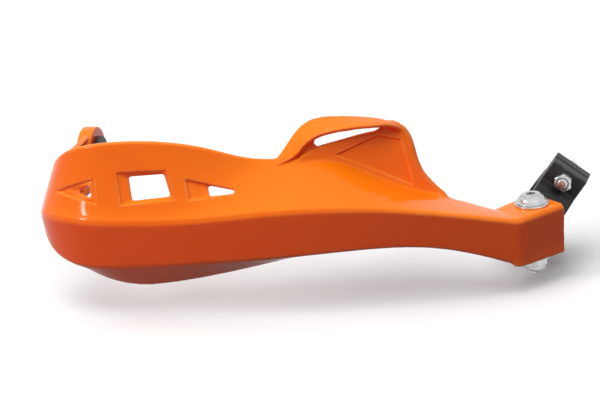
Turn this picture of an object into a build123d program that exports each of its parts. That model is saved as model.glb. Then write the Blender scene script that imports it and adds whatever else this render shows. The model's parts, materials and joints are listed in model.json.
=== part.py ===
# Motorcycle hand guard for one side of a handlebar: a moulded wrap-around shell, a split clamp that
# carries its inner end and an expanding plug that holds its outer end in the end of the bar.
# Frame: origin at the centre of the bar's outer end, +X inward along the grip, -Y to the front, +Z up.
import os
from math import cos, radians, sin

from build123d import *

os.makedirs("parts", exist_ok=True)

# Handlebar that the guard is made for
bar_diameter = 22.2
bar_bore = 14.0
bar_dip_angle = 37.0  # how steeply the bar runs down through the clamp, from the grip's line

# Plan line of the shell's front edge, as tangent arcs from the bar end round to the clamp
boss_thickness = 9.0
spacer_thickness = 3.0
arm_overlap = 8.0  # how far the arm runs past the bar's axis, inside the boss
arm_inset = 4.0  # how far its edges lie inside the boss's rim
arm_sink = 1.0  # how far its outer face lies below the boss's face there
flare_radius = 182.0
flare_angle = 17.4
corner_radius = 46.0
corner_angle = 101.4
front_radius = 474.0
front_angle = 31.3
turn_radius = 15.0
turn_angle = 25.0
end_length = 30.0

# Shell
shell_wall = 4.0
toe_chamfer = 1.2
crease_chamfer = 1.8
rim_chamfer = 0.9
rib_thickness = 2.4
boss_diameter = 38.0
panel_setback = 1.2  # how far the wing's flat panel stands behind the ledge in front of it
roof_thickness = 3.0
vent_depth = 2.4
vent_lift = 0.6  # how far a vent's outline is drawn above the skin
vent_round = 2.0
vent_hole_round = 1.2

# Inner ears and their pivot
ear_thickness = 6.0
ear_radius = 13.0
ear_top = -17.4
ear_bottom = -48.6
pivot_setback = 15.0  # from the end wall's outer face to the pivot
pivot_along = 17.0  # from the turn, along the end wall

# Clamp on the bar
clamp_width = 24.0
clamp_bore = 28.6
clamp_radius = 20.0
clamp_flange = 16.0
clamp_flange_end = 7.0  # flange beyond each screw
clamp_split = 1.5
clamp_screw_reach = 25.0  # from the bar's axis to each screw
lug_width = 16.4

# Fasteners
pivot_thread = 8.0
pivot_nut_flats = 13.0
pivot_nut_height = 8.0
insert_wall = 1.2
insert_height = 2.5
pivot_head_radius = 9.5
pivot_head_height = 5.4
pivot_flange_height = 1.0
pivot_crown_radius = 6.6
pivot_washer_radius = 10.5
clamp_thread = 6.0
clamp_nut_flats = 10.0
clamp_nut_height = 5.0
clamp_head_radius = 5.0
clamp_washer_radius = 6.0
plug_head_radius = 7.0
plug_head_height = 4.4
socket_flats = 5.0
socket_depth = 2.8
head_chamfer = 1.0
washer_thickness = 1.6
bush_wall = 2.0
thread_end = 2.0  # how far a bolt stands out of its nut

# Bar-end plug
spacer_brim = 2.0  # how far the spacer stands out past the bar
plug_length = 34.0
plug_spigot = 4.0
plug_taper_length = 10.0
plug_taper_rise = 1.5
plug_slot = 1.2
plug_slot_start = 12.0
cone_length = 13.0
cone_entry = 6.0  # how far its nose lies inside the sleeve
cone_step = 0.3  # how far it is thinner than the sleeve, on the radius

# Clearances
slip = 0.1  # radial room of a bolt in its sleeve
seat = 0.05  # radial room of a piece in its seat
side_gap = 0.3  # room of the lug between the ears
spot_gap = 1.0  # room round a washer in its spot face
plug_gap = 0.1  # radial room of the plug in the bar before it is spread
cut_reach = 200.0  # long enough for a cut to pass right through

boss_radius = boss_diameter / 2
boss_face = -spacer_thickness - boss_thickness
up = Vector(0, 0, 1)

with BuildLine() as plan:
    flare = JernArc((boss_face + arm_sink, arm_overlap), (0, -1), flare_radius, -flare_angle)
    corner = JernArc(flare @ 1, flare % 1, corner_radius, corner_angle)
    front = JernArc(corner @ 1, corner % 1, front_radius, front_angle)
    turn = JernArc(front @ 1, front % 1, turn_radius, turn_angle)
    end = Line(turn @ 1, turn @ 1 + (turn % 1) * end_length)


def upright(origin, tangent):
    """Plane across the plan line: local x runs inward from the front edge, local y is height."""
    return Plane(origin, x_dir=up.cross(tangent), z_dir=tangent)


def station(edge, share):
    return upright(edge @ share, edge % share)


def place(edge, share, depth, height):
    """Point at a depth behind the shell's front edge and at a height."""
    return station(edge, share).from_local_coords(Vector(depth, height, 0))


def parallel(points, distance):
    """Mitred copy of an open line, a distance to its right."""
    ways = [(Vector(b) - Vector(a)).normalized() for a, b in zip(points, points[1:])]
    sides = [Vector(way.Y, -way.X) for way in ways]
    sides = [sides[0], *sides, sides[-1]]
    moved = []
    for point, before, after in zip(points, sides, sides[1:]):
        mitre = before + after
        moved.append(Vector(point) + mitre * (2 * distance / mitre.length**2))
    return moved


# Section of the shell at each station: lip end, toe, crease, shoulder and rim as (depth, height)
arm_edge = boss_radius - arm_inset
sections = [
    (flare, 0.0, (7.2, -arm_edge), (0.8, -arm_edge), (0, -7), (0.6, 6), (2, arm_edge)),
    (flare, 0.5, (7.6, -18.5), (1, -18.2), (0, -8.6), (1.5, 5.6), (4.5, 18)),
    (flare, 1.0, (8.5, -19.5), (1.2, -19), (0, -9.5), (2.8, 4.5), (8, 18.5)),
    (corner, 0.33, (10, -22), (1.8, -21), (0, -9), (4.5, 3), (12, 23)),
    (corner, 0.67, (12, -32.5), (2.5, -31), (0, -3.5), (5.5, 4), (14.5, 34)),
    (corner, 1.0, (14, -43), (3, -33), (0, -3), (6, 4.5), (16, 40)),
    (front, 0.1, (15, -48.5), (3, -32), (0, -3), (6.5, 5), (17, 42.5)),
    (front, 0.2, (15, -45.5), (3, -30.5), (0, -2.3), (7, 6), (18, 42.3)),
    (front, 0.3, (14.5, -41), (3, -29), (0, -0.6), (9.5, 8.7), (20.5, 38.3)),
    (front, 0.4, (13.7, -35.5), (3, -28.2), (0, 1.5), (15, 14), (24.5, 30)),
    (front, 0.5, (13, -30.5), (3, -27.2), (0, 2.4), (19, 16.5), (30, 26)),
    (front, 0.6, (12.5, -28), (3, -26.4), (0, 1.7), (19.5, 14.5), (32.5, 23)),
    (front, 0.7, (12, -27.3), (3, -26.5), (0, -0.7), (19, 6.5), (33.5, 10.5)),
    (front, 0.8, (11.5, -30), (3, -29.3), (0, -5.3), (17, -4), (37.5, -1.5)),
    (front, 0.9, (11, -37.5), (3, -36.7), (0, -11.3), (16, -11), (35.5, -11.2)),
    (front, 1.0, (10, -48.5), (2.5, -48), (0, -18), (7, -17.5), (15, -18.3)),
]
rib_shares = (0.2, 0.4, 0.6, 0.8)

# A smooth rail through each of the five points gives the lofted sections, closer together at both ends
run_before = {id(flare): 0, id(corner): flare.length, id(front): flare.length + corner.length}
runs = [run_before[id(edge)] + share * edge.length for edge, share, *outer in sections]
last = len(sections) - 1
near_end = [0, 1 / 3, 2 / 3, 1, 1.5]
rail_steps = [*near_end, *range(2, last - 1), *[last - step for step in reversed(near_end)]]
rails = [
    Edge.make_spline(
        [Vector(run, *row[2 + point]) for run, row in zip(runs, sections)],
        parameters=list(range(last + 1)),
    )
    for point in range(5)
]
plan_wire = Wire([flare, corner, front])


def cut_corner(before, corner_point, after, leg):
    """Two points that replace a corner by a chamfer."""
    ways = [(point - corner_point).normalized() for point in (before, after)]
    return [corner_point + way * leg for way in ways]


def wall_section(step):
    """Sketch of the shell's wall where the rails are this many listed sections along."""
    points = [rail.position_at(step / last, position_mode=PositionMode.PARAMETER) for rail in rails]
    run = min(max(points[0].X, 0), plan_wire.length)
    across = upright(
        plan_wire.position_at(run, position_mode=PositionMode.LENGTH),
        plan_wire.tangent_at(run, position_mode=PositionMode.LENGTH),
    )
    outer = [Vector(point.Y, point.Z) for point in points]
    lip, toe, crease, shoulder, rim = outer
    lip_in, toe_in, crease_in, shoulder_in, rim_in = parallel(outer, shell_wall)
    toe_cut = cut_corner(lip, toe, crease, toe_chamfer)
    crease_cut = cut_corner(toe, crease, shoulder, crease_chamfer)
    rim_cut = cut_corner(shoulder, rim, rim_in, rim_chamfer)
    with BuildSketch(across) as drawn:
        with BuildLine():
            Polyline(lip_in, lip, *toe_cut, *crease_cut)
            Bezier(crease_cut[1], shoulder, rim_cut[0])
            Polyline(*rim_cut, rim_in)
            Bezier(rim_in, shoulder_in, crease_in)
            Polyline(crease_in, toe_in, lip_in)
        make_face()
    return drawn.sketch.face()


wall_sections = [wall_section(step) for step in rail_steps]

# Stiffening ribs inside the channel of the band
with BuildPart() as ribs:
    for edge, share, *outer in sections:
        if edge is front and share in rib_shares:
            with BuildSketch(station(edge, share)):
                with BuildLine():
                    Polyline(*parallel(outer, shell_wall / 2)[:4], close=True)
                make_face()
            extrude(amount=rib_thickness / 2, both=True)

# Flat panel of the wing, standing behind the shoulder's ledge: a front-view outline cut to one slab
ledge_outer = place(front, 0.592, 32.4, 24.1)
ledge_inner = place(front, 0.783, 32.1, 0.2)
panel_crest = place(front, 0.65, 37.8, 31.6)
panel_plane = Plane(
    ledge_outer,
    x_dir=ledge_inner - ledge_outer,
    z_dir=(ledge_inner - ledge_outer).cross(panel_crest - ledge_outer),
).offset(-panel_setback)
panel_top = [
    (0.50, 29.5, 24),
    (0.534, 31.9, 28.8),
    (0.603, 36.8, 31.6),
    (0.646, 39.4, 33),
    (0.697, 41.8, 33.8),
]
panel_inner = [
    (0.737, 45.2, 39.2),
    (0.761, 44.8, 36.2),
    (0.784, 43, 29),
    (0.799, 38.2, 13.3),
    (0.819, 35.3, 3),
    (0.842, 33.8, -2.6),
    (0.866, 33, -9),
]
panel_foot = [(0.85, 32.5, -8.6), (0.78, 33, -3), (0.68, 33, 8), (0.592, 33, 18), (0.50, 29.5, 20)]


def front_view(rows):
    """Points behind the front edge as seen from straight ahead."""
    points = [place(front, *row) for row in rows]
    return [(point.X, point.Z) for point in points]


with BuildPart() as wing_panel:
    with BuildSketch(Plane.XZ):
        with BuildLine():
            top_edge = Spline(front_view(panel_top))
            inner_edge = Spline(front_view(panel_inner))
            Polyline(top_edge @ 1, front_view([(0.715, 43.5, 36.5)])[0], inner_edge @ 0)
            Polyline(inner_edge @ 1, *front_view(panel_foot), top_edge @ 0)
        make_face()
    extrude(amount=cut_reach)
    with BuildSketch(panel_plane):
        Rectangle(2 * cut_reach, 2 * cut_reach)
    extrude(amount=-shell_wall, mode=Mode.INTERSECT)

# Roof strip over the wing's air slot: straight rulings between a front and a rear edge
roof_front = [
    (0.44, 24, 22.5),
    (0.47, 26, 24.5),
    (0.50, 28, 28),
    (0.52, 28.5, 33.5),
    (0.545, 29, 38),
    (0.59, 30, 41),
    (0.65, 31, 42),
    (0.70, 33, 41.5),
    (0.74, 38, 38.5),
    (0.77, 44, 31),
]
roof_rear = [
    (0.432, 26, 24),
    (0.458, 30, 28.5),
    (0.48, 36, 34.5),
    (0.505, 41.5, 40.3),
    (0.535, 44.6, 44),
    (0.59, 46.3, 45.1),
    (0.65, 46.2, 44),
    (0.70, 46, 42),
    (0.74, 46.5, 39),
    (0.77, 46.5, 32),
]
with BuildPart() as wing_roof:
    roof_skin = Face.make_surface_from_curves(
        Edge.make_spline([place(front, *row) for row in roof_front]),
        Edge.make_spline([place(front, *row) for row in roof_rear]),
    )
    thicken(roof_skin, amount=roof_thickness, normal_override=-up)

# Vents: an outline on the outer skin narrowing to a smaller hole at the back, both as (along, up)
vents = [
    (
        station(corner, 0.824),
        (7.4, 13.5, 19.4),
        [(-15, -2.5), (14, 9), (18, -6.5)],
        [(3, -0.8), (11.5, 4.5), (13.5, -3.2)],
    ),
    (
        station(front, 0.139),
        (9.1, 16.5, 20),
        [(-18, 8.9), (13.4, 10.9), (19, -7.4), (-15, -11.1)],
        [(-11, 6.4), (11, 8.2), (15.5, -5), (-8.5, -7.8)],
    ),
    (
        station(front, 0.303),
        (9.8, 13.5, 27.8),
        [(-17.1, 8), (25, -0.9), (-14.5, -5)],
        [(-4, 4.2), (19.5, -0.4), (-2.6, -2.4)],
    ),
]
with BuildPart() as vent_cutters:
    for across, (depth, height, lean), outline, hole in vents:
        outward = -across.x_dir * cos(radians(lean)) + up * sin(radians(lean))
        skin = Plane(across.from_local_coords(Vector(depth, height, 0)), x_dir=across.z_dir, z_dir=outward)
        drawn = []
        for level, corners, corner_round in (
            (vent_lift, outline, vent_round),
            (-vent_depth, hole, vent_hole_round),
        ):
            with BuildSketch(skin.offset(level)) as vent_face:
                with BuildLine():
                    FilletPolyline(*corners, radius=corner_round, close=True)
                make_face()
            drawn.append(vent_face.sketch.face())
        loft(drawn)
        extrude(drawn[0], amount=2 * shell_wall)
        extrude(drawn[1], amount=-2 * shell_wall)

pivot = place(end, pivot_along / end_length, pivot_setback, 0)


def ear_outline(height, first_share, first_depth):
    """Plan of one ear: the hull of its eye and of the wall that carries it."""
    with BuildSketch(Plane.XY.offset(height)) as drawn:
        with BuildLine():
            CenterArc((pivot.X, pivot.Y), ear_radius, 0, 360)
            Polyline(
                place(front, first_share, first_depth, 0),
                place(front, first_share, shell_wall / 2, 0),
                place(turn, 0.5, shell_wall / 2, 0),
                place(end, 1.0, shell_wall / 2, 0),
            )
        make_hull()
    return drawn.sketch


bolt_radius = pivot_thread / 2
bolt_room = bolt_radius + slip
bush_radius = bolt_room + bush_wall
spot_radius = pivot_washer_radius + spot_gap
spot_floor = -spacer_thickness - ear_thickness  # the bar-end boss is spot-faced to the bush's length

with BuildPart() as bosses:
    with BuildSketch(Plane.YZ.offset(boss_face)):
        Circle(boss_radius)
    extrude(amount=boss_thickness)
    extrude(ear_outline(ear_top, 0.96, 22), amount=-ear_thickness)
    extrude(ear_outline(ear_bottom, 0.99, 18), amount=ear_thickness)

with BuildPart() as bores:
    with BuildSketch(Plane.YZ.offset(spot_floor)):
        Circle(spot_radius)
    extrude(amount=-cut_reach)
    with BuildSketch(Plane.XY.offset(ear_top)):
        with Locations((pivot.X, pivot.Y)):
            Circle(spot_radius)
    extrude(amount=cut_reach)
    with BuildSketch(Plane.XY.offset(ear_bottom)):
        with Locations((pivot.X, pivot.Y)):
            Circle(spot_radius)
    extrude(amount=-cut_reach)
    with BuildSketch(Plane.YZ):
        Circle(bush_radius + seat)
    extrude(amount=-cut_reach)
    with BuildSketch(Plane.XY):
        with Locations((pivot.X, pivot.Y)):
            Circle(bush_radius + seat)
    extrude(amount=-cut_reach)

with BuildPart() as guard_shell:
    loft(wall_sections)
    sweep(wall_sections[-1], path=Wire([turn, end]))
    add([ribs.part, wing_panel.part, wing_roof.part, bosses.part])
    add([vent_cutters.part, bores.part], mode=Mode.SUBTRACT)

guard_shell.part.label = "guard_shell"
export_step(guard_shell.part, "parts/guard_shell.step")


def turned(plane, profile):
    """Solid of revolution about a plane's normal, from an outline of (radius, height) points."""
    with BuildPart() as made:
        with BuildSketch(Plane(plane.origin, x_dir=plane.x_dir, z_dir=-plane.y_dir)):
            with BuildLine():
                Polyline(*profile, close=True)
            make_face()
        revolve(axis=Axis(plane.origin, plane.z_dir))
    return made.part


def ring(plane, inner, outer, low, high):
    return turned(plane, [(inner, low), (outer, low), (outer, high), (inner, high)])


# Bar-end plug, on a plane at the bar's end with its normal inward along the grip
bar_end = Plane(origin=(0, 0, 0), x_dir=(0, 1, 0), z_dir=(1, 0, 0))
plug_radius = bar_bore / 2 - plug_gap
spacer_radius = bar_diameter / 2 + spacer_brim
taper_start = plug_length - plug_taper_length
plug_head_face = spot_floor - washer_thickness
plug_bolt_tip = plug_length + cone_length + thread_end

with BuildPart() as bar_end_spacer:
    add(
        turned(
            bar_end,
            [
                (bolt_room, -spacer_thickness),
                (spacer_radius, -spacer_thickness),
                (spacer_radius, 0),
                (plug_radius, 0),
                (plug_radius, plug_spigot),
                (bolt_room, plug_spigot),
            ],
        )
    )

bar_end_spacer.part.label = "bar_end_spacer"
export_step(bar_end_spacer.part, "parts/bar_end_spacer.step")

with BuildPart() as expander_sleeve:
    add(
        turned(
            bar_end,
            [
                (bolt_room, plug_spigot),
                (plug_radius, plug_spigot),
                (plug_radius, plug_length),
                (bolt_room + plug_taper_rise, plug_length),
                (bolt_room, taper_start),
            ],
        )
    )
    with BuildSketch(bar_end.offset(plug_slot_start)):
        Rectangle(plug_slot, 4 * plug_radius, rotation=45)
        Rectangle(plug_slot, 4 * plug_radius, rotation=-45)
    extrude(amount=plug_length, mode=Mode.SUBTRACT)

expander_sleeve.part.label = "expander_sleeve"
export_step(expander_sleeve.part, "parts/expander_sleeve.step")

taper_slope = plug_taper_rise / plug_taper_length
cone_nose = plug_length - cone_entry
cone_mouth = bolt_room - seat + plug_taper_rise
with BuildPart() as expander_cone:
    add(
        turned(
            bar_end,
            [
                (bolt_radius + seat, cone_nose),
                (bolt_room - seat + taper_slope * (cone_nose - taper_start), cone_nose),
                (cone_mouth, plug_length),
                (plug_radius - cone_step, plug_length),
                (plug_radius - cone_step, plug_length + cone_length),
                (bolt_radius + seat, plug_length + cone_length),
            ],
        )
    )

expander_cone.part.label = "expander_cone"
export_step(expander_cone.part, "parts/expander_cone.step")

with BuildPart() as bar_end_bolt:
    head_top = plug_head_face - plug_head_height
    add(
        turned(
            bar_end,
            [
                (0, head_top),
                (plug_head_radius - head_chamfer, head_top),
                (plug_head_radius, head_top + head_chamfer),
                (plug_head_radius, plug_head_face),
                (bolt_radius, plug_head_face),
                (bolt_radius, plug_bolt_tip),
                (0, plug_bolt_tip),
            ],
        )
    )
    with BuildSketch(bar_end.offset(head_top)):
        RegularPolygon(socket_flats / 2, 6, major_radius=False)
    extrude(amount=socket_depth, mode=Mode.SUBTRACT)

bar_end_bolt.part.label = "bar_end_bolt"
export_step(bar_end_bolt.part, "parts/bar_end_bolt.step")

# Pivot through the ears and the clamp's lug
pivot_plane = Plane(origin=(pivot.X, pivot.Y, 0))
lug_top = ear_top - ear_thickness
lug_bottom = ear_bottom + ear_thickness
nut_face = ear_bottom - washer_thickness
nut_foot = nut_face - pivot_nut_height
head_face = ear_top + washer_thickness

# The ears and the boss have the same bush, and their bolts the same washer
with BuildPart() as steel_bushes:
    add(ring(bar_end, bolt_room, bush_radius, spot_floor, -spacer_thickness))
    add(ring(pivot_plane, bolt_room, bush_radius, lug_top, ear_top))
    add(ring(pivot_plane, bolt_room, bush_radius, ear_bottom, lug_bottom))

steel_bushes.part.label = "steel_bushes"
export_step(steel_bushes.part, "parts/steel_bushes.step")

with BuildPart() as bolt_washers:
    add(ring(bar_end, bolt_room, pivot_washer_radius, plug_head_face, spot_floor))
    add(ring(pivot_plane, bolt_room, pivot_washer_radius, ear_top, head_face))
    add(ring(pivot_plane, bolt_room, pivot_washer_radius, nut_face, ear_bottom))

bolt_washers.part.label = "bolt_washers"
export_step(bolt_washers.part, "parts/bolt_washers.step")

with BuildPart() as pivot_sleeve:
    add(ring(pivot_plane, bolt_room, bush_radius, lug_bottom, lug_top))

pivot_sleeve.part.label = "pivot_sleeve"
export_step(pivot_sleeve.part, "parts/pivot_sleeve.step")

with BuildPart() as pivot_bolt:
    pivot_tip = nut_foot - thread_end
    flange_top = head_face + pivot_flange_height
    crown_top = head_face + pivot_head_height
    add(
        turned(
            pivot_plane,
            [
                (0, pivot_tip),
                (bolt_radius, pivot_tip),
                (bolt_radius, head_face),
                (pivot_head_radius, head_face),
                (pivot_head_radius, flange_top),
                (pivot_crown_radius, flange_top + head_chamfer),
                (pivot_crown_radius, crown_top - head_chamfer),
                (pivot_crown_radius - 2 * head_chamfer, crown_top),
                (0, crown_top),
            ],
        )
    )
    with BuildSketch(pivot_plane.offset(crown_top)):
        RegularPolygon(socket_flats / 2, 6, major_radius=False)
    extrude(amount=-socket_depth, mode=Mode.SUBTRACT)

pivot_bolt.part.label = "pivot_bolt"
export_step(pivot_bolt.part, "parts/pivot_bolt.step")

# Lock nut, with a seat for its nylon ring
insert_radius = bolt_radius + insert_wall
with BuildPart() as pivot_nut:
    with BuildSketch(pivot_plane.offset(nut_foot)):
        RegularPolygon(pivot_nut_flats / 2, 6, major_radius=False)
        Circle(insert_radius, mode=Mode.SUBTRACT)
    extrude(amount=insert_height)
    with BuildSketch(pivot_plane.offset(nut_foot + insert_height)):
        RegularPolygon(pivot_nut_flats / 2, 6, major_radius=False)
        Circle(bolt_radius + seat, mode=Mode.SUBTRACT)
    extrude(amount=pivot_nut_height - insert_height)

pivot_nut.part.label = "pivot_nut"
export_step(pivot_nut.part, "parts/pivot_nut.step")

with BuildPart() as nut_insert:
    add(ring(pivot_plane, bolt_radius + seat, insert_radius - seat, nut_foot, nut_foot + insert_height))

nut_insert.part.label = "nut_insert"
export_step(nut_insert.part, "parts/nut_insert.step")

# Split clamp round the bar, on a plane across the bar's axis
bar_way = Vector(cos(radians(bar_dip_angle)), 0, -sin(radians(bar_dip_angle)))
clamp_centre = Vector(pivot.X, 0, (ear_top + ear_bottom) / 2)
clamp_plane = Plane(clamp_centre, x_dir=(0, -1, 0), z_dir=bar_way)
screw_offset = clamp_plane.y_dir * clamp_screw_reach
screw_spots = [clamp_centre + screw_offset, clamp_centre - screw_offset]
flange_half = clamp_flange / 2
screw_radius = clamp_thread / 2


def half_space(side):
    """Block that covers everything from the clamp's split to one side: 1 is the front, -1 the rear."""
    with BuildPart() as made:
        with BuildSketch(Plane.XZ.offset(-side * clamp_split / 2)):
            with Locations((clamp_centre.X, clamp_centre.Z)):
                Rectangle(cut_reach, cut_reach)
        extrude(amount=side * cut_reach)
    return made.part


def collar():
    """Ring with two screw flanges, before it is split."""
    with BuildPart() as made:
        with BuildSketch(clamp_plane):
            Rectangle(clamp_flange, 2 * (clamp_screw_reach + clamp_flange_end))
            Circle(clamp_radius)
            Circle(clamp_bore / 2, mode=Mode.SUBTRACT)
            Rectangle(clamp_flange, clamp_bore, mode=Mode.SUBTRACT)
        extrude(amount=clamp_width / 2, both=True)
        with BuildSketch(Plane.XZ):
            with Locations(*[(spot.X, spot.Z) for spot in screw_spots]):
                Circle(screw_radius + slip)
        extrude(amount=cut_reach, both=True, mode=Mode.SUBTRACT)
    return made.part


with BuildPart() as lug:
    with BuildSketch(Plane.XY.offset(lug_bottom + side_gap)):
        with Locations((pivot.X, pivot.Y)):
            Circle(lug_width / 2)
        with Locations((pivot.X, pivot.Y / 2)):
            Rectangle(lug_width, -pivot.Y)
    extrude(amount=lug_top - lug_bottom - 2 * side_gap)
    with BuildSketch(clamp_plane):
        Circle(clamp_bore / 2)
    extrude(amount=cut_reach, both=True, mode=Mode.SUBTRACT)
    with BuildSketch(Plane.XY):
        with Locations((pivot.X, pivot.Y)):
            Circle(bush_radius + seat)
    extrude(amount=-cut_reach, mode=Mode.SUBTRACT)

with BuildPart() as clamp_body:
    add(collar())
    add(lug.part)
    add(half_space(-1), mode=Mode.SUBTRACT)

clamp_body.part.label = "clamp_body"
export_step(clamp_body.part, "parts/clamp_body.step")

with BuildPart() as clamp_cap:
    add(collar())
    add(half_space(1), mode=Mode.SUBTRACT)

clamp_cap.part.label = "clamp_cap"
export_step(clamp_cap.part, "parts/clamp_cap.step")

# Half shells that take the clamp's bore down to the bar
lining = ring(clamp_plane, bar_diameter / 2, clamp_bore / 2 - seat, -clamp_width / 2, clamp_width / 2)

with BuildPart() as reducer_front:
    add(lining)
    add(half_space(-1), mode=Mode.SUBTRACT)

reducer_front.part.label = "reducer_front"
export_step(reducer_front.part, "parts/reducer_front.step")

with BuildPart() as reducer_rear:
    add(lining)
    add(half_space(1), mode=Mode.SUBTRACT)

reducer_rear.part.label = "reducer_rear"
export_step(reducer_rear.part, "parts/reducer_rear.step")


# Clamp screws from behind, into nuts on the front of the flanges
def screw_plane(spot):
    """Plane on a screw's axis at the clamp's split, with its normal to the rear."""
    return Plane((spot.X, 0, spot.Z), x_dir=clamp_plane.y_dir, z_dir=(0, 1, 0))


screw_face = flange_half + washer_thickness
with BuildPart() as clamp_washers:
    for spot in screw_spots:
        add(ring(screw_plane(spot), screw_radius + slip, clamp_washer_radius, flange_half, screw_face))

clamp_washers.part.label = "clamp_washers"
export_step(clamp_washers.part, "parts/clamp_washers.step")

with BuildPart() as clamp_nuts:
    for spot in screw_spots:
        with BuildSketch(screw_plane(spot).offset(-flange_half)):
            RegularPolygon(clamp_nut_flats / 2, 6, major_radius=False)
            Circle(screw_radius + seat, mode=Mode.SUBTRACT)
        extrude(amount=-clamp_nut_height)

clamp_nuts.part.label = "clamp_nuts"
export_step(clamp_nuts.part, "parts/clamp_nuts.step")

with BuildPart() as clamp_screws:
    screw_tip = -flange_half - clamp_nut_height - thread_end
    screw_top = screw_face + clamp_thread
    for spot in screw_spots:
        add(
            turned(
                screw_plane(spot),
                [
                    (0, screw_tip),
                    (screw_radius, screw_tip),
                    (screw_radius, screw_face),
                    (clamp_head_radius, screw_face),
                    (clamp_head_radius, screw_top - head_chamfer),
                    (clamp_head_radius - head_chamfer, screw_top),
                    (0, screw_top),
                ],
            )
        )
        with BuildSketch(screw_plane(spot).offset(screw_top)):
            RegularPolygon(socket_flats / 2, 6, major_radius=False)
        extrude(amount=-socket_depth, mode=Mode.SUBTRACT)

clamp_screws.part.label = "clamp_screws"
export_step(clamp_screws.part, "parts/clamp_screws.step")
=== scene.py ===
import json
import math

import bmesh
import bpy
import numpy as np
from mathutils import Matrix, Vector


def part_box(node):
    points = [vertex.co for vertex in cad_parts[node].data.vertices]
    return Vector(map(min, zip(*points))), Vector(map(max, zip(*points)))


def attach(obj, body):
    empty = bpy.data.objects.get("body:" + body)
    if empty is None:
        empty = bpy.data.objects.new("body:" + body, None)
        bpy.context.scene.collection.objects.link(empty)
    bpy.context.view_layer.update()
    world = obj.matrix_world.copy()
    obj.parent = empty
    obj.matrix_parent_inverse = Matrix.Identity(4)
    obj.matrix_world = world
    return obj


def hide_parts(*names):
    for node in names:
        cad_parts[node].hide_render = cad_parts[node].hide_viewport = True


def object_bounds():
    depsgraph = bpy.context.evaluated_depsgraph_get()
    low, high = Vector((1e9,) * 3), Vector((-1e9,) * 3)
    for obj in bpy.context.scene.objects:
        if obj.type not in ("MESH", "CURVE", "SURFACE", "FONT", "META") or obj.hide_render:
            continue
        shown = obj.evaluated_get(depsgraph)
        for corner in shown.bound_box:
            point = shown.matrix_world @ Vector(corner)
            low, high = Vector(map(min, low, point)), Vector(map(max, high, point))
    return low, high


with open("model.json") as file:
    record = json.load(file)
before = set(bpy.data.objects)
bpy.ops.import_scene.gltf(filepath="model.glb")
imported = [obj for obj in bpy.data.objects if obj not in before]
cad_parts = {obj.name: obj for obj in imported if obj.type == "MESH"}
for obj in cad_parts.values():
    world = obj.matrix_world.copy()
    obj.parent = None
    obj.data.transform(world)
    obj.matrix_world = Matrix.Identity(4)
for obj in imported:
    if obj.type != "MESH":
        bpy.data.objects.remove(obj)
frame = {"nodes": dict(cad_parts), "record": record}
cadLow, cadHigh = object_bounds()
nodes = frame["nodes"]
mounts = {mount["name"]: mount for mount in frame["record"]["mounts"]}
scene = bpy.context.scene
mm = 0.001  # in metres
print("frame loaded:", len(nodes), "nodes")


# Shared shader groups: they put out masks and heights only
def newGroup(name, inputs, outputs):
    group = bpy.data.node_groups.new(name, "ShaderNodeTree")
    for way, labels in (("INPUT", inputs), ("OUTPUT", outputs)):
        for label in labels:
            group.interface.new_socket(label, in_out=way, socket_type="NodeSocketFloat")
    return group, group.nodes.new("NodeGroupInput"), group.nodes.new("NodeGroupOutput")


def feed(tree, socket, value):
    # an output is linked to the socket, a number or a colour is set on it
    if isinstance(value, bpy.types.NodeSocket):
        tree.links.new(value, socket)
    else:
        socket.default_value = (*value, 1.0) if isinstance(value, tuple) else value


def noiseNode(tree, vector, scale, detail, rough=0.5):
    noise = tree.nodes.new("ShaderNodeTexNoise")
    for label, value in (("Vector", vector), ("Scale", scale), ("Detail", detail), ("Roughness", rough)):
        feed(tree, noise.inputs[label], value)
    return noise.outputs["Fac"]


def rangeNode(tree, value, low, high, toLow=0.0, toHigh=1.0):
    fit = tree.nodes.new("ShaderNodeMapRange")
    tree.links.new(value, fit.inputs["Value"])
    for label, number in (("From Min", low), ("From Max", high), ("To Min", toLow), ("To Max", toHigh)):
        feed(tree, fit.inputs[label], number)
    return fit.outputs["Result"]


def mathNode(tree, operation, first, second=0.0):
    node = tree.nodes.new("ShaderNodeMath")
    node.operation = operation
    for socket, value in zip(node.inputs, (first, second)):
        feed(tree, socket, value)
    return node.outputs["Value"]


def objectPlace(tree):
    return tree.nodes.new("ShaderNodeTexCoord").outputs["Object"]


def splitVector(tree, vector):
    split = tree.nodes.new("ShaderNodeSeparateXYZ")
    tree.links.new(vector, split.inputs["Vector"])
    return split.outputs


grainNoise = {"fineDetail": 2.0, "slowDetail": 4.0, "slowRough": 0.6}


def makeGrain():
    # fine even grain for a bump, and a slow cloud for colour and gloss
    group, given, put = newGroup("moulded_grain", ["Fine", "Slow"], ["Height", "Cloud"])
    place = objectPlace(group)
    height = noiseNode(group, place, given.outputs["Fine"], grainNoise["fineDetail"])
    cloud = noiseNode(group, place, given.outputs["Slow"], grainNoise["slowDetail"], grainNoise["slowRough"])
    group.links.new(height, put.inputs["Height"])
    group.links.new(cloud, put.inputs["Cloud"])
    return group


edgeNoise = {"detail": 5.0, "rough": 0.7, "spots": (0.35, 0.65)}


def makeEdges():
    # mask of outer edges and corners, broken up by a noise so that it isn't a plain outline; it places wear,
    # and on the orange shell painted edge highlights
    group, given, put = newGroup("rubbed_and_sheen_edges", ["From", "To", "Breakup"], ["Mask"])
    shape = group.nodes.new("ShaderNodeNewGeometry").outputs["Pointiness"]
    edge = rangeNode(group, shape, given.outputs["From"], given.outputs["To"])
    place, breakup = objectPlace(group), given.outputs["Breakup"]
    noise = noiseNode(group, place, breakup, edgeNoise["detail"], edgeNoise["rough"])
    spots = rangeNode(group, noise, *edgeNoise["spots"])
    group.links.new(mathNode(group, "MULTIPLY", edge, spots), put.inputs["Mask"])
    return group


hairNoise = {"detail": 1.0, "tilt": (0.35, 0.5, 0.8), "stretch": (0.06, 1.0, 1.0), "full": 0.82}


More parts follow.
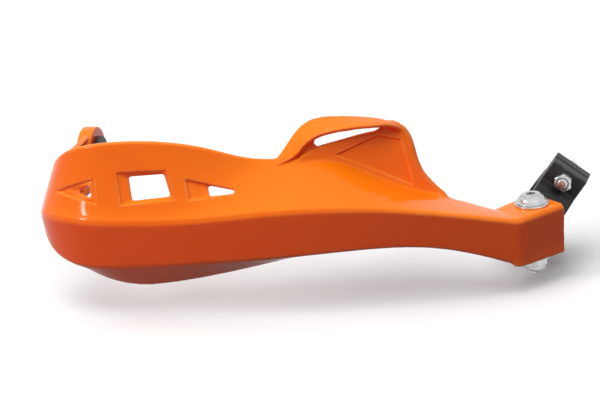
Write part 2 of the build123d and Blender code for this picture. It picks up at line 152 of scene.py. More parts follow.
def makeHairlines():
    # thin scratches: a noise drawn out along one way, where it comes near its top
    group, given, put = newGroup("hairlines", ["Scale", "Start"], ["Mask"])
    turn = group.nodes.new("ShaderNodeVectorRotate")
    turn.rotation_type = "EULER_XYZ"
    turn.inputs["Rotation"].default_value = hairNoise["tilt"]
    group.links.new(objectPlace(group), turn.inputs["Vector"])
    stretch = group.nodes.new("ShaderNodeVectorMath")
    stretch.operation = "MULTIPLY"
    stretch.inputs[1].default_value = hairNoise["stretch"]
    group.links.new(turn.outputs["Vector"], stretch.inputs[0])
    noise = noiseNode(group, stretch.outputs["Vector"], given.outputs["Scale"], hairNoise["detail"])
    group.links.new(rangeNode(group, noise, given.outputs["Start"], hairNoise["full"]), put.inputs["Mask"])
    return group


grainGroup = makeGrain()
edgeGroup = makeEdges()
hairGroup = makeHairlines()


def useGroup(tree, group, values):
    node = tree.nodes.new("ShaderNodeGroup")
    node.node_tree = group
    for label, value in values.items():
        node.inputs[label].default_value = value
    return node.outputs


def mixColours(tree, mask, first, second):
    mix = tree.nodes.new("ShaderNodeMix")
    mix.data_type = "RGBA"
    tree.links.new(mask, mix.inputs["Factor"])
    for socket, colour in zip(mix.inputs[6:8], (first, second)):  # the node's two colour sockets
        feed(tree, socket, colour)
    return mix.outputs[2]


def bumpNode(tree, height, strength, distance):
    bump = tree.nodes.new("ShaderNodeBump")
    bump.inputs["Strength"].default_value = strength
    bump.inputs["Distance"].default_value = distance
    tree.links.new(height, bump.inputs["Height"])
    return bump.outputs["Normal"]


def newMaterial(name):
    material = bpy.data.materials.new(name)
    material.use_nodes = True
    return material, material.node_tree, material.node_tree.nodes["Principled BSDF"]


# Finishes: "bump" holds its strength and height, "roughness" its lowest and highest value
noiseSpan = (0.3, 0.7)  # most of a noise lies between these
orangeLook = {
    "deep": (0.92, 0.085, 0.002),  # painted shade: colour of faces that look down or forward
    "pale": (1.0, 0.205, 0.004),  # painted light: colour of faces that look up
    "paintedUpwardLight": (-0.1, 0.65),  # upward lean where the painted light starts and where it is full
    "patches": (-0.1, 0.1),  # random patches, added to the painted light
    # painted highlight and wear: the pale colour that sharp outer edges are mixed towards
    "rubbedAndSheen": (1.0, 0.36, 0.1),
    "wearAndSheen": 0.6,
    "roughness": (0.09, 0.15),
    "scuff": 0.16,
    "bump": (0.05, 0.1 * mm),
    "specular": 0.16,
    "grain": {"Fine": 2400.0, "Slow": 16.0},
    "edges": {"From": 0.502, "To": 0.53, "Breakup": 90.0},
    "scratches": {"Scale": 300.0, "Start": 0.64},
}


def orangePlastic():
    material, tree, shader = newMaterial("orange_plastic")
    grain = useGroup(tree, grainGroup, orangeLook["grain"])
    edges = useGroup(tree, edgeGroup, orangeLook["edges"])
    scratches = useGroup(tree, hairGroup, orangeLook["scratches"])
    # painted light and shade: the colour goes paler and yellower as a face leans up, and deeper red as it
    # looks down or forward
    upright = splitVector(tree, tree.nodes.new("ShaderNodeNewGeometry").outputs["Normal"])["Z"]
    paintedUpwardLight = rangeNode(tree, upright, *orangeLook["paintedUpwardLight"])
    patches = rangeNode(tree, grain["Cloud"], *noiseSpan, *orangeLook["patches"])
    body = mixColours(tree, mathNode(tree, "ADD", paintedUpwardLight, patches), orangeLook["deep"], orangeLook["pale"])
    # painted highlight and wear: sharp outer edges go pale orange, standing in for edge highlights as well as
    # rubbed plastic
    wornAndSheen = mathNode(tree, "MULTIPLY", edges["Mask"], orangeLook["wearAndSheen"])
    tree.links.new(mixColours(tree, wornAndSheen, body, orangeLook["rubbedAndSheen"]), shader.inputs["Base Color"])
    gloss = rangeNode(tree, grain["Cloud"], *noiseSpan, *orangeLook["roughness"])
    scuffed = mathNode(tree, "MULTIPLY", scratches["Mask"], orangeLook["scuff"])
    tree.links.new(mathNode(tree, "ADD", gloss, scuffed), shader.inputs["Roughness"])
    tree.links.new(bumpNode(tree, grain["Height"], *orangeLook["bump"]), shader.inputs["Normal"])
    shader.inputs["Specular IOR Level"].default_value = orangeLook["specular"]
    return material


steelLook = {
    "dark": (0.48, 0.49, 0.5),
    "light": (0.72, 0.73, 0.74),
    "roughness": (0.2, 0.36),
    "scuff": 0.2,
    "bump": (0.12, 0.05 * mm),
    "grain": {"Fine": 1800.0, "Slow": 240.0},
    "scratches": {"Scale": 900.0, "Start": 0.58},
}


def zincSteel():
    material, tree, shader = newMaterial("zinc_steel")
    grain = useGroup(tree, grainGroup, steelLook["grain"])
    scratches = useGroup(tree, hairGroup, steelLook["scratches"])
    tone = rangeNode(tree, grain["Cloud"], *noiseSpan)
    body = mixColours(tree, tone, steelLook["dark"], steelLook["light"])
    tree.links.new(body, shader.inputs["Base Color"])
    gloss = rangeNode(tree, grain["Cloud"], *noiseSpan, *steelLook["roughness"])
    scuffed = mathNode(tree, "MULTIPLY", scratches["Mask"], steelLook["scuff"])
    tree.links.new(mathNode(tree, "ADD", gloss, scuffed), shader.inputs["Roughness"])
    tree.links.new(bumpNode(tree, grain["Height"], *steelLook["bump"]), shader.inputs["Normal"])
    shader.inputs["Metallic"].default_value = 1.0
    return material


blackLook = {
    "deep": (0.012, 0.012, 0.013),
    "pale": (0.026, 0.026, 0.028),
    "rubbedAndSheen": (0.3, 0.3, 0.31),
    "wearAndSheen": 0.5,
    "roughness": (0.36, 0.5),
    "bump": (0.35, 0.06 * mm),
    "metallic": 0.35,  # the coat hides most of the metal
    "grain": {"Fine": 3200.0, "Slow": 70.0},
    "edges": {"From": 0.51, "To": 0.57, "Breakup": 240.0},
}


def blackAluminium():
    material, tree, shader = newMaterial("black_aluminium")
    grain = useGroup(tree, grainGroup, blackLook["grain"])
    edges = useGroup(tree, edgeGroup, blackLook["edges"])
    tone = rangeNode(tree, grain["Cloud"], *noiseSpan)
    body = mixColours(tree, tone, blackLook["deep"], blackLook["pale"])
    wornAndSheen = mathNode(tree, "MULTIPLY", edges["Mask"], blackLook["wearAndSheen"])
    tree.links.new(mixColours(tree, wornAndSheen, body, blackLook["rubbedAndSheen"]), shader.inputs["Base Color"])
    gloss = rangeNode(tree, grain["Height"], *noiseSpan, *blackLook["roughness"])
    tree.links.new(gloss, shader.inputs["Roughness"])
    tree.links.new(bumpNode(tree, grain["Height"], *blackLook["bump"]), shader.inputs["Normal"])
    shader.inputs["Metallic"].default_value = blackLook["metallic"]
    return material


turnedLook = {
    "dark": (0.6, 0.61, 0.62),
    "light": (0.82, 0.83, 0.84),
    "roughness": (0.24, 0.38),
    "bump": (0.25, 0.02 * mm),
    "pitch": 0.28 * mm,
    "grain": {"Fine": 1500.0, "Slow": 120.0},
}


def turnedAluminium():
    # tool marks run round the plug's axis, so their height is a sine wave along X
    material, tree, shader = newMaterial("turned_aluminium")
    grain = useGroup(tree, grainGroup, turnedLook["grain"])
    along = splitVector(tree, objectPlace(tree))["X"]
    marks = mathNode(tree, "SINE", mathNode(tree, "MULTIPLY", along, 2 * math.pi / turnedLook["pitch"]))
    tone = rangeNode(tree, grain["Cloud"], *noiseSpan)
    body = mixColours(tree, tone, turnedLook["dark"], turnedLook["light"])
    tree.links.new(body, shader.inputs["Base Color"])
    gloss = rangeNode(tree, grain["Height"], *noiseSpan, *turnedLook["roughness"])
    tree.links.new(gloss, shader.inputs["Roughness"])
    tree.links.new(bumpNode(tree, marks, *turnedLook["bump"]), shader.inputs["Normal"])
    shader.inputs["Metallic"].default_value = 1.0
    return material


plasticLooks = {
    "black_plastic": {"deep": (0.014, 0.014, 0.015), "pale": (0.03, 0.03, 0.031), "roughness": (0.45, 0.62)},
    "nylon": {"deep": (0.72, 0.71, 0.66), "pale": (0.84, 0.83, 0.79), "roughness": (0.38, 0.5)},
}
plasticSkin = {"grain": {"Fine": 2200.0, "Slow": 60.0}, "bump": (0.3, 0.08 * mm)}


def plainPlastic(name):
    look = plasticLooks[name]
    material, tree, shader = newMaterial(name)
    grain = useGroup(tree, grainGroup, plasticSkin["grain"])
    tone = rangeNode(tree, grain["Cloud"], *noiseSpan)
    tree.links.new(mixColours(tree, tone, look["deep"], look["pale"]), shader.inputs["Base Color"])
    gloss = rangeNode(tree, grain["Cloud"], *noiseSpan, *look["roughness"])
    tree.links.new(gloss, shader.inputs["Roughness"])
    tree.links.new(bumpNode(tree, grain["Height"], *plasticSkin["bump"]), shader.inputs["Normal"])
    return material


finishes = {
    "orange_plastic": orangePlastic(),
    "zinc_steel": zincSteel(),
    "black_aluminium": blackAluminium(),
    "bare_aluminium": turnedAluminium(),
    "black_plastic": plainPlastic("black_plastic"),
    "nylon": plainPlastic("nylon"),
}
slotOf = {part["node"]: part["material_slot"] for part in frame["record"]["subparts"]}
print("materials:", ", ".join(finishes))


def addPiece(name, mesh, node):
    piece = bpy.data.objects.new(name, mesh)
    scene.collection.objects.link(piece)
    mesh.polygons.foreach_set("use_smooth", np.ones(len(mesh.polygons), bool))
    mesh.materials.clear()
    mesh.materials.append(finishes[slotOf[node]])
    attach(piece, "root")
    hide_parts(node)
    return piece


# Moulded and cast pieces: the solid on even cells, then relaxed so that every edge has a small round.
# Places and lengths are in millimetres; "most" is the number of triangles that a piece may keep.
shellLook = {
    "name": "moulded_shell", "cell": 0.5, "soften": 10, "level": 6, "most": 185000,
    "blends": [  # where the wing runs into the shield and the roof, and the foot of the turn
        {"centre": (190, -45, 25), "reach": 48, "rounds": 22},
        {"centre": (227, -44, -5), "reach": 12, "rounds": 120},
        {"centre": (195, -41, 38), "reach": 9, "rounds": 70},
        {"centre": (268, -63, -48), "reach": 7, "rounds": 40},
    ],
    "web": {  # closes the outer end of the air slot under the roof strip
        "corners": [
            (143, -71, 25.5), (156, -66, 28.6), (152.6, -68, 33), (156.5, -68.4, 38.2), (145.5, -70.2, 31)
        ],
        "back": (1.0, 2.4, -0.4),
    },
    "recesses": [  # three vents, each with the hole in its floor, and the wing's panel
        {
            "outline": [(-5.1, -90.2, 11.1), (23.0, -98.4, 22.0), (24.6, -104.7, 7.4)],
            "hole": [(11.6, -96.9, 12.7), (20.1, -98.8, 17.7), (20.9, -101.9, 10.5)],
        },
        {
            "outline": [(38.0, -95.7, 24.9), (69.4, -95.9, 26.7), (74.8, -102.3, 9.5), (40.8, -102.6, 6.1)],
            "hole": [(45.0, -96.7, 22.5), (67.0, -96.7, 24.2), (71.4, -101.4, 11.8), (47.4, -101.7, 9.2)],
        },
        {
            "outline": [(80.2, -95.2, 20.6), (122.5, -96.8, 12.7), (83.2, -101.1, 9.1)],
            "hole": [(93.4, -96.2, 17.2), (117.0, -96.9, 13.1), (95.0, -99.1, 11.4)],
        },
        {"outline": [(165, -64.2, 24.5), (188.9, -50.1, 32.1), (201.8, -45.7, 27.8), (209, -52.4, 0.3)]},
    ],
    "recessStep": {"sink": 1.1, "edge": 1.0, "fade": 4.0, "near": 6.0, "facing": 0.3, "level": 2},
    "crisp": [  # the three vents keep their edges
        {"from": (3, -94, 13), "to": (16, -98, 14), "reach": 22, "hold": 0.5},
        {"from": (50, -99, 16), "to": (62, -99, 16), "reach": 28, "hold": 0.5},
        {"from": (90, -98, 14), "to": (112, -98, 13), "reach": 22, "hold": 0.5},
    ],
}
mouldings = {
    "guard_shell": shellLook,
    "clamp_body": {"name": "clamp_front_half", "cell": 0.4, "soften": 3, "level": 6, "most": 90000},
    "clamp_cap": {"name": "clamp_rear_half", "cell": 0.4, "soften": 3, "level": 6, "most": 70000},
    "expander_sleeve": {"name": "slotted_sleeve", "cell": 0.25, "soften": 1, "level": 5, "most": 60000},
}
softenShare = 0.5  # each point goes half way to its neighbours' mean
levelShares = [0.5, -0.52]  # and back out again, which evens a surface without shrinking it
solidGap = 0.001 * mm  # a solid's corners that are nearer than this are one point


def afterModifier(mesh, kind, settings):
    # the mesh as one modifier leaves it
    helper = bpy.data.objects.new(mesh.name, mesh)
    scene.collection.objects.link(helper)
    modifier = helper.modifiers.new(kind, kind)
    for label, value in settings.items():
        setattr(modifier, label, value)
    result = bpy.data.meshes.new_from_object(helper.evaluated_get(bpy.context.evaluated_depsgraph_get()))
    bpy.data.objects.remove(helper)
    return result


def addWeb(closed, web):
    # a thin wall: its front corners in a ring, and the same corners carried back
    front = [closed.verts.new(Vector(corner) * mm) for corner in web["corners"]]
    back = [closed.verts.new((Vector(corner) + Vector(web["back"])) * mm) for corner in web["corners"]]
    closed.faces.new(front)
    closed.faces.new(back[::-1])
    for near in range(len(front)):
        closed.faces.new((front[near], front[near - 1], back[near - 1], back[near]))


def evenMesh(node, look):
    # the solid's merged copy, with the web if it has one, on cells of one size
    closed = bmesh.new()
    closed.from_mesh(nodes[node].data)
    bmesh.ops.remove_doubles(closed, verts=closed.verts, dist=solidGap)
    if "web" in look:
        addWeb(closed, look["web"])
    mesh = bpy.data.meshes.new(node + "_closed")
    closed.to_mesh(mesh)
    closed.free()
    return afterModifier(mesh, "REMESH", {"mode": "VOXEL", "voxel_size": look["cell"] * mm})


def relaxed(points, first, second, shares, weight=1.0):
    # all points move at once: point + share * weight * (mean of its neighbours - point)
    count = len(points)
    valence = (np.bincount(first, minlength=count) + np.bincount(second, minlength=count))[:, None]
    weight = weight * (valence > 0)
    for share in shares:
        total = [
            np.bincount(first, points[second, axis], count) + np.bincount(second, points[first, axis], count)
            for axis in range(3)
        ]
        points = points + share * weight * (np.stack(total, axis=1) / np.maximum(valence, 1) - points)
    return points


def freedom(points, crisp):
    # how free a point is to move: 1 less the hold up to half the reach from a line, rising to 1 at the reach
    free = np.ones((len(points), 1))
    for line in crisp:
        start, run = np.array(line["from"]) * mm, (np.array(line["to"]) - line["from"]) * mm
        along = np.clip((points - start) @ run / (run @ run), 0, 1)[:, None]
        away = np.linalg.norm(points - start - along * run, axis=1, keepdims=True) / (line["reach"] * mm)
        free = free * (1 - line["hold"] * np.clip(2 * (1 - away), 0, 1))
    return free


def blended(points, first, second, blend, free):
    # points within a reach of one place are relaxed, in full up to half of it and then by less
    distance = np.linalg.norm(points - np.array(blend["centre"]) * mm, axis=1) / (blend["reach"] * mm)
    inside = np.flatnonzero(distance < 1)
    number = np.full(len(points), -1)
    number[inside] = np.arange(len(inside))
    near = (number[first] >= 0) & (number[second] >= 0)
    weight = np.clip(2 * (1 - distance[inside]), 0, 1)[:, None] * free[inside]
    shares = [softenShare] * blend["rounds"]
    points[inside] = relaxed(points[inside], number[first[near]], number[second[near]], shares, weight)
    return points


def insideBy(points, corners, normal):
    # how far each point lies inside a convex outline, seen along its normal; negative outside
    middle, depth = corners.mean(axis=0), np.full(len(points), np.inf)
    for corner, following in zip(corners, np.roll(corners, -1, axis=0)):
        inward = np.cross(normal, following - corner)
        inward *= np.sign((middle - corner) @ inward) / np.linalg.norm(inward)
        depth = np.minimum(depth, (points - corner) @ inward)
    return depth / mm


def dished(points, mesh, recesses, step):
    # inside an outline the skin sinks by the step's full depth just past the edge, and by less towards a hole
    facing = np.empty(len(points) * 3)
    mesh.vertex_normals.foreach_get("vector", facing)
    for recess in recesses:
        outline = np.array(recess["outline"]) * mm
        normal = np.cross(outline[1] - outline[0], outline[2] - outline[1])
        normal *= -np.sign(normal[1]) / np.linalg.norm(normal)  # outwards is towards -Y
        onSkin = facing.reshape(-1, 3) @ normal > step["facing"]
        onSkin &= np.abs((points - outline[0]) @ normal) < step["near"] * mm
        ramp = np.clip(insideBy(points, outline, normal) / step["edge"], 0, 1)
        sink = step["sink"] * mm * onSkin * ramp**2 * (3 - 2 * ramp)
        if "hole" in recess:
            sink *= np.clip(-insideBy(points, np.array(recess["hole"]) * mm, normal) / step["fade"], 0, 1)
        points = points - sink[:, None] * normal
    return points


def putPoints(mesh, points):
    mesh.vertices.foreach_set("co", points.ravel())
    mesh.update()


def smoothMesh(mesh, look):
    points = np.empty(len(mesh.vertices) * 3)
    mesh.vertices.foreach_get("co", points)
    ends = np.empty(len(mesh.edges) * 2, np.int64)
    mesh.edges.foreach_get("vertices", ends)
    first, second = ends.reshape(-1, 2).T
    shares = [softenShare] * look["soften"] + levelShares * look["level"]
    points = points.reshape(-1, 3)
    free = freedom(points, look.get("crisp", []))
    points = relaxed(points, first, second, shares, free)
    for blend in look.get("blends", []):
        points = blended(points, first, second, blend, free)
    putPoints(mesh, points)
    if "recesses" in look:
        step = look["recessStep"]
        points = dished(points, mesh, look["recesses"], step)
        putPoints(mesh, relaxed(points, first, second, levelShares * step["level"]))


def thinMesh(mesh, most):
    # drops the points that the shape can do without, until the triangles, two to a face, are few enough
    return afterModifier(mesh, "DECIMATE", {"ratio": min(1.0, most / (2 * len(mesh.polygons)))})


for node, look in mouldings.items():
    even = evenMesh(node, look)
    smoothMesh(even, look)
    thin = thinMesh(even, look["most"])
    addPiece(look["name"], thin, node)
    print("moulding:", look["name"], len(thin.polygons), "faces of", len(even.polygons))


# Turned pieces: rows of (radius, height) in millimetres carried round an axis; a hexagon's radius changes
# with the angle. An axis is its place, its way and the side where the angle is zero.
around = 72  # points in one turn
turnAngles = np.arange(around) * (2 * np.pi / around)
hexShape = 1 / np.cos((turnAngles + np.pi / 6) % (np.pi / 3) - np.pi / 6)  # 1 on a flat, 1.155 at a corner
cornerShare = 0.45  # a rounded corner takes no more than this of each side
threadRows = 10  # rows in one pitch of a thread
poleGap = 0.002 * mm  # points of a turned piece that are nearer than this are one
creaseAngle = math.radians(34)  # an edge that turns further stays sharp


def spunGrid(rows, shape=1.0):
    # radius of a row times the shape at each angle
    rows = np.array(rows, float) * mm
    radius = rows[:, :1] * (np.ones(around) * shape)
    return np.stack([radius, rows[:, 1:] + 0 * radius], axis=-1)


def roundedRows(corners, leg, steps=4):
    # a corner becomes a curve: a leg before it * (1-t)^2 + corner * 2t(1-t) + a leg after it * t^2
    corner = np.array(corners, float)
    ways = [np.roll(corner, shift, axis=0) - corner for shift in (1, -1)]
    lengths = [np.linalg.norm(way, axis=1, keepdims=True) for way in ways]
    first, second = (
        corner + way / length * np.minimum(leg, cornerShare * length) for way, length in zip(ways, lengths)
    )
    t = np.linspace(0, 1, steps + 1)[None, :, None]
    curve = first[:, None] * (1 - t) ** 2 + corner[:, None] * 2 * t * (1 - t) + second[:, None] * t**2
    return curve.reshape(-1, 2)


def topRound(radius, top, leg, steps=5):
    # quarter circle from a side up on to a flat top
    turn = np.linspace(0, np.pi / 2, steps)
    return list(zip(radius - leg + leg * np.cos(turn), top - leg + leg * np.sin(turn)))


def threadGrid(low, high, radius, pitch, depth):
    # radius less a wave that climbs one pitch in each turn, cut to a chamfer at the low end
    height = np.arange(low, high, pitch / threadRows)[:, None]
    wave = 0.5 - 0.5 * np.cos(2 * np.pi * height / pitch - turnAngles)
    threaded = np.minimum(radius - depth * wave, radius - depth + height - low)
    return np.stack([threaded, height + 0 * threaded], axis=-1) * mm


def spunPoints(grid, axis):
    # place + axis * height + radius * (side * cos + other * sin)
    place, way, side = (np.array(part, float) for part in axis)
    out = side * np.cos(turnAngles)[:, None] + np.cross(way, side) * np.sin(turnAngles)[:, None]
    return place + way * grid[..., 1:] + out * grid[..., :1]


def spunPiece(name, node, grid, axes, closed):
    # one turned surface for each axis; a closed one joins its last row to its first, the others end in a pole
    index = np.arange(len(grid) * around).reshape(len(grid), around)
    index = np.concatenate([index, index[:1]]) if closed else index
    index = np.concatenate([index, index[:, :1]], axis=1)
    quads = np.stack([index[:-1, :-1], index[:-1, 1:], index[1:, 1:], index[1:, :-1]], axis=-1).reshape(-1, 4)
    points = [spunPoints(grid, axis).reshape(-1, 3) for axis in axes]
    faces = [quads + turn * grid[..., 0].size for turn in range(len(axes))]
    mesh = bpy.data.meshes.new(name)
    mesh.from_pydata(np.concatenate(points).tolist(), [], np.concatenate(faces).tolist())
    merged = bmesh.new()
    merged.from_mesh(mesh)
    bmesh.ops.remove_doubles(merged, verts=merged.verts, dist=poleGap)
    bmesh.ops.recalc_face_normals(merged, faces=merged.faces)
    merged.to_mesh(mesh)
    merged.free()
    addPiece(name, mesh, node)
    mesh.set_sharp_from_angle(angle=creaseAngle)
    print("turned:", name, len(mesh.polygons), "faces")


def spanOf(node, way):
    # lowest and highest place of a node along X, Y or Z, in millimetres
    return tuple(corner["xyz".index(way)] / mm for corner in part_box(node))


def shifted(axis, height):
    # the same axis with its zero moved along it, in millimetres
    return (np.array(axis[0]) + np.array(axis[1]) * height * mm, *axis[1:])


pivotTurn = 0.3  # how far the socket is turned on the pivot, in radians
plugTurn = 0.2  # and on the plug
pivotMiddle = sum(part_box("pivot_bolt"), Vector()) / 2
pivotAxis = ((pivotMiddle.x, pivotMiddle.y, 0), (0, 0, 1), (math.cos(pivotTurn), math.sin(pivotTurn), 0))
plugAxis = ((0, 0, 0), (1, 0, 0), (0, 1, 0))
outwardAxis = ((0, 0, 0), (-1, 0, 0), (0, math.cos(plugTurn), math.sin(plugTurn)))  # out of the tab
clampMount = mounts["bar_clamp"]
clampAcross = np.array([-clampMount["axis"][2], 0, clampMount["axis"][0]])
clampScrewReach = 25.0 * mm  # from the clamp's axis to each screw
screwAxes = [
    (np.array(clampMount["pos_m"]) + clampAcross * side * clampScrewReach, (0, 1, 0), clampAcross)
    for side in (1, -1)
]

# Bolts: "shank", "flange", "crown", "flat" and "head" are radii, "socket" is measured across its flats
boltLook = {"threadDepth": 0.61, "runOut": 0.6, "chamfer": 0.3}  # the depth is a share of the pitch
socketLook = {"depth": 2.8, "point": 0.9, "lead": 0.25}


def boltGrid(look, tip, top):
    # tip's centre, thread, shank, head's own rows, then the hexagonal socket down to a shallow cone
    shank, pitch, seat, chamfer = look["shank"], look["pitch"], top - look["headHeight"], boltLook["chamfer"]
    depth, threadEnd = boltLook["threadDepth"] * pitch, tip + look["threaded"]
    half, lead, foot = look["socket"] / 2, socketLook["lead"], top - socketLook["depth"]
    neck = [(shank, threadEnd + boltLook["runOut"]), (shank, seat - chamfer), (shank + chamfer, seat)]
    socket = [(half + lead, top), (half, top - lead), (half, foot), (0, foot - socketLook["point"])]
    return np.concatenate([
        spunGrid([(0, tip), (shank - depth - chamfer, tip)]),
        threadGrid(tip, threadEnd, shank, pitch, depth),
        spunGrid([*neck, *look["headRows"](look, seat, top)]),
        spunGrid(socket, hexShape),
    ])


def flangedHead(look, seat, top):
    # a flat brim, then a dome: radius falls by the cosine as the height rises by the sine
    brim, crown, flat, chamfer = look["flange"], look["crown"], look["flat"], boltLook["chamfer"]
    brimTop, turn = seat + look["flangeHeight"], np.linspace(look["domeStart"], np.pi / 2, look["domeRows"])
    edge = [(brim - chamfer, seat), *topRound(brim, brimTop, look["round"]), (crown + chamfer, brimTop)]
    return [*edge, *zip(flat + (crown - flat) * np.cos(turn), brimTop + (top - brimTop) * np.sin(turn))]


def plainHead(look, seat, top):
    # a cylinder with a chamfered foot and a rounded top
    head, chamfer = look["head"], boltLook["chamfer"]
    return [(head - chamfer, seat), (head, seat + chamfer), *topRound(head, top, look["round"])]


pivotLook = {
    "shank": 4.0, "pitch": 1.25, "threaded": 13.0, "socket": 5.0, "headHeight": 5.4, "headRows": flangedHead,
    "flange": 9.5, "flangeHeight": 1.1, "round": 0.7,
    "crown": 8.2, "flat": 3.6, "domeStart": 0.08, "domeRows": 14,
}
plugLook = {
    "shank": 4.0, "pitch": 1.25, "threaded": 18.0, "socket": 5.0, "headHeight": 4.4, "headRows": plainHead,
    "head": 7.0, "round": 0.9,
}
clampLook = {
    "shank": 3.0, "pitch": 1.0, "threaded": 10.0, "socket": 5.0, "headHeight": 6.0, "headRows": plainHead,
    "head": 5.0, "round": 0.8,
}
pivotGrid = boltGrid(pivotLook, *spanOf("pivot_bolt", "z"))
spunPiece("flanged_pivot_bolt", "pivot_bolt", pivotGrid, [pivotAxis], False)
plugTop, plugTip = (-end for end in spanOf("bar_end_bolt", "x"))
spunPiece("bar_end_screw", "bar_end_bolt", boltGrid(plugLook, plugTip, plugTop), [outwardAxis], False)
clampGrid = boltGrid(clampLook, *spanOf("clamp_screws", "y"))
spunPiece("socket_screws", "clamp_screws", clampGrid, screwAxes, False)

# Nuts: "bore" and "ringSeat" are radii. The cone that cuts the corners starts at a share of the hexagon
# and widens by its slope.
nutLook = {"start": 0.96, "slope": 1.73, "cut": 1.2, "cutRows": 9, "lead": 0.5}
lockNutLook = {
    "flats": 13.0, "bore": 4.05, "collarHeight": 2.6, "collarRadius": 6.1, "collarRound": 0.7,
    "ringSeat": 5.2, "ringHeight": 2.5, "ringLip": 0.2,
}
clampNutLook = {"flats": 10.0, "bore": 3.05}


def hexWall(flats, low, high):
    # the hexagon, held inside a cone at each end so that its corners are cut to arcs
    cut, rows = nutLook["cut"], nutLook["cutRows"]
    height = np.concatenate([np.linspace(low, low + cut, rows), np.linspace(high - cut, high, rows)])
    limit = flats / 2 * nutLook["start"] + nutLook["slope"] * np.minimum(height - low, high - height)
    radius = np.minimum(flats / 2 * hexShape, limit[:, None])
    return np.stack([radius, height[:, None] + 0 * radius], axis=-1) * mm


def clampNutGrid(low, high):
    # the bore's foot, the hexagon and the bore's mouth
    bore, lead = clampNutLook["bore"], nutLook["lead"]
    foot, mouth = [(bore, low + lead), (bore + lead, low)], [(bore + lead, high), (bore, high - lead)]
    return np.concatenate([spunGrid(foot), hexWall(clampNutLook["flats"], low, high), spunGrid(mouth)])


def lockNutGrid(low, high):
    # a seat for the ring, a rolled collar round it, the hexagon and the bore
    bore, ringSeat, collar = lockNutLook["bore"], lockNutLook["ringSeat"], lockNutLook["collarRadius"]
    ringTop, hexLow = low + lockNutLook["ringHeight"], low + lockNutLook["collarHeight"]
    upper = topRound(collar, low, lockNutLook["collarRound"])
    rolled = [(radius, 2 * low - height) for radius, height in reversed(upper)]
    foot = [(bore, ringTop), (ringSeat, ringTop), (ringSeat, low + lockNutLook["ringLip"]), *rolled]
    lead = nutLook["lead"]
    mouth = [(bore + lead, high), (bore, high - lead)]
    hexagon = hexWall(lockNutLook["flats"], hexLow, high)
    return np.concatenate([spunGrid([*foot, (collar, hexLow)]), hexagon, spunGrid(mouth)])


spunPiece("lock_nut", "pivot_nut", lockNutGrid(*spanOf("pivot_nut", "z")), [pivotAxis], True)
spunPiece("clamp_hex_nuts", "clamp_nuts", clampNutGrid(*spanOf("clamp_nuts", "y")), screwAxes, True)

# Washers and the lock nut's ring: inner and outer radius, and how far each edge is rounded
washerLook = {"thickness": 1.6, "edge": 0.4, "pivot": (4.1, 10.5), "clamp": (3.1, 6.0)}
ringLook = {"radii": (4.05, 5.15), "edge": 0.4}


def ringGrid(inner, outer, low, high, edge):
    # a rectangle with rounded corners, turned about the axis
    return spunGrid(roundedRows([(inner, low), (outer, low), (outer, high), (inner, high)], edge))


underHead = spanOf("pivot_bolt", "z")[1] - pivotLook["headHeight"] - washerLook["thickness"]
underNut = spanOf("pivot_nut", "z")[1]
underPlug = spanOf("bar_end_bolt", "x")[0] + plugLook["headHeight"]
washerAxes = [shifted(pivotAxis, underHead), shifted(pivotAxis, underNut), shifted(plugAxis, underPlug)]
pivotWasher = ringGrid(*washerLook["pivot"], 0, washerLook["thickness"], washerLook["edge"])
spunPiece("flat_washers", "bolt_washers", pivotWasher, washerAxes, True)
clampWasher = ringGrid(*washerLook["clamp"], *spanOf("clamp_washers", "y"), washerLook["edge"])
spunPiece("clamp_flat_washers", "clamp_washers", clampWasher, screwAxes, True)

# Plug: spacer and cone are closed outlines turned about its line
spacerLook = {"bore": 4.1, "flange": 13.1, "spigot": 6.9, "edge": 0.7}
coneLook = {"bore": 4.05, "tip": 4.65, "taper": 5.55, "taperLength": 6.0, "body": 6.6, "edge": 0.6}


def spacerGrid(low, high):
    # the flange up to X = 0, then the narrower spigot
    bore, flange, spigot = spacerLook["bore"], spacerLook["flange"], spacerLook["spigot"]
    outline = [(bore, low), (flange, low), (flange, 0), (spigot, 0), (spigot, high), (bore, high)]
    return spunGrid(roundedRows(outline, spacerLook["edge"]))


def coneGrid(low, high):
    # the taper from its tip, then a step out to the straight body
    bore, body, taperEnd = coneLook["bore"], coneLook["body"], low + coneLook["taperLength"]
    taper = [(coneLook["tip"], low), (coneLook["taper"], taperEnd)]
    outline = [(bore, low), *taper, (body, taperEnd), (body, high), (bore, high)]
    return spunGrid(roundedRows(outline, coneLook["edge"]))


spunPiece("flanged_spacer", "bar_end_spacer", spacerGrid(*spanOf("bar_end_spacer", "x")), [plugAxis], True)
spunPiece("draw_cone", "expander_cone", coneGrid(*spanOf("expander_cone", "x")), [plugAxis], True)
lockRing = ringGrid(*ringLook["radii"], *spanOf("nut_insert", "z"), ringLook["edge"])
spunPiece("locking_ring", "nut_insert", lockRing, [pivotAxis], True)

# CAD nodes that stay as they are take their finish
for node, solid in nodes.items():
    if not solid.hide_render:
        solid.data.materials.clear()
        solid.data.materials.append(finishes[slotOf[node]])

# Camera at the photograph's viewing angle
view = {
    "azimuth": 15.0, "elevation": 20.0, "roll": 5.2, "distance": 2.3, "lens": 230.0,
    "centre": (0.14, -0.06, -0.006),
}


def addCamera():
    turn, rise, roll = (math.radians(view[key]) for key in ("azimuth", "elevation", "roll"))
    right = Vector((math.cos(turn), math.sin(turn), 0))
    back = Vector((math.sin(turn) * math.cos(rise), -math.cos(turn) * math.cos(rise), math.sin(rise)))
    top = back.cross(right)
    rolledRight = right * math.cos(roll) - top * math.sin(roll)
    rolledTop = right * math.sin(roll) + top * math.cos(roll)
    camera = bpy.data.objects.new("camera", bpy.data.cameras.new("camera"))
    scene.collection.objects.link(camera)
    camera.data.lens = view["lens"]
    camera.data.sensor_fit = "HORIZONTAL"
    axes = Matrix((rolledRight, rolledTop, back)).transposed().to_4x4()
    camera.matrix_world = Matrix.Translation(Vector(view["centre"]) + back * view["distance"]) @ axes
    scene.camera = camera


addCamera()

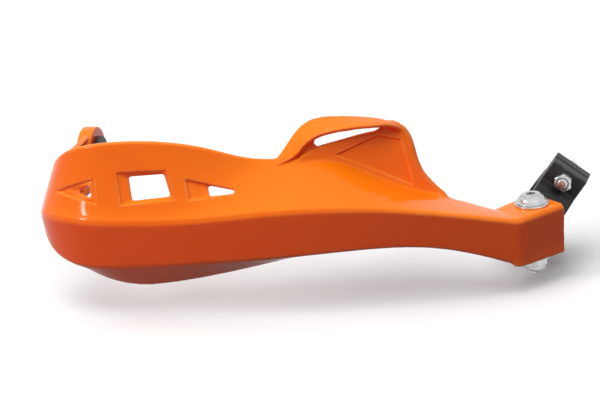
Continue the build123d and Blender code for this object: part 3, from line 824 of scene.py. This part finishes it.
# Floor and light: a sky that brightens overhead and to the outer side, three panels, and a white ground
# for the camera and for reflections. A panel that isn't mirrored gives no reflection.
floorLook = {
    "drop": 1.0 * mm, "half": 6.0, "seen": (0.92, 0.92, 0.92), "lit": (0.12, 0.12, 0.12),
    "roughness": 0.9, "specular": 0.0,
}
skyLevels = {"horizon": 0.1, "zenith": 1.55, "power": 2.0, "outer": 1.35, "inner": 0.65, "seen": 1.0}
lampAim = (0.14, -0.06, 0)
lampLooks = {
    "sky_panel": {"place": (-0.1, -0.9, 2.0), "size": (1.6, 1.6), "power": 18.0, "mirrored": False},
    "front_panel": {"place": (-1.1, -1.2, 0.75), "size": (0.1, 0.45), "power": 9.5, "mirrored": True},
    "side_panel": {"place": (1.5, -0.6, 0.6), "size": (0.5, 0.5), "power": 0.3, "mirrored": True},
}


def seenMask(tree):
    # 1 for the camera, reflections and clear views, 0 for the light that surfaces pass on
    paths = tree.nodes.new("ShaderNodeLightPath").outputs
    seen = mathNode(tree, "MAXIMUM", paths["Is Camera Ray"], paths["Is Glossy Ray"])
    return mathNode(tree, "MAXIMUM", seen, paths["Is Transmission Ray"])


def addFloor():
    half, level = floorLook["half"], cadLow.z - floorLook["drop"]
    corners = np.array([[-1, -1, 0], [1, -1, 0], [1, 1, 0], [-1, 1, 0]]) * half + [0, 0, level]
    mesh = bpy.data.meshes.new("floor")
    mesh.from_pydata(corners.tolist(), [], [(0, 1, 2, 3)])
    floor = bpy.data.objects.new("floor", mesh)
    scene.collection.objects.link(floor)
    material, tree, shader = newMaterial("pale_floor")
    colour = mixColours(tree, seenMask(tree), floorLook["lit"], floorLook["seen"])
    tree.links.new(colour, shader.inputs["Base Color"])
    shader.inputs["Roughness"].default_value = floorLook["roughness"]
    shader.inputs["Specular IOR Level"].default_value = floorLook["specular"]
    mesh.materials.append(material)


def addWorld():
    # light = (horizon to zenith by rise ** power) * (outer to inner along X), and white where it is seen
    world = bpy.data.worlds.new("studio")
    world.use_nodes = True
    tree = world.node_tree
    soft = tree.nodes["Background"]
    soft.inputs["Color"].default_value = (1, 1, 1, 1)
    way = splitVector(tree, tree.nodes.new("ShaderNodeTexCoord").outputs["Generated"])
    rise = mathNode(tree, "POWER", mathNode(tree, "MAXIMUM", way["Z"], 0.0), skyLevels["power"])
    sky = rangeNode(tree, rise, 0.0, 1.0, skyLevels["horizon"], skyLevels["zenith"])
    side = rangeNode(tree, way["X"], -1.0, 1.0, skyLevels["outer"], skyLevels["inner"])
    light = mathNode(tree, "MULTIPLY", sky, side)
    strength = rangeNode(tree, seenMask(tree), 0.0, 1.0, light, skyLevels["seen"])
    tree.links.new(strength, soft.inputs["Strength"])
    scene.world = world


def addLamps():
    for name, look in lampLooks.items():
        lamp = bpy.data.objects.new(name, bpy.data.lights.new(name, "AREA"))
        scene.collection.objects.link(lamp)
        lamp.data.shape = "RECTANGLE"
        lamp.data.size, lamp.data.size_y = look["size"]
        lamp.data.energy = look["power"]
        lamp.visible_glossy = look["mirrored"]
        lamp.location = look["place"]
        lamp.rotation_euler = (Vector(lampAim) - lamp.location).to_track_quat("-Z", "Y").to_euler()


addFloor()
addWorld()
addLamps()
scene.view_settings.view_transform = "Standard"
print("stage: floor,", len(lampLooks), "lamps, camera")
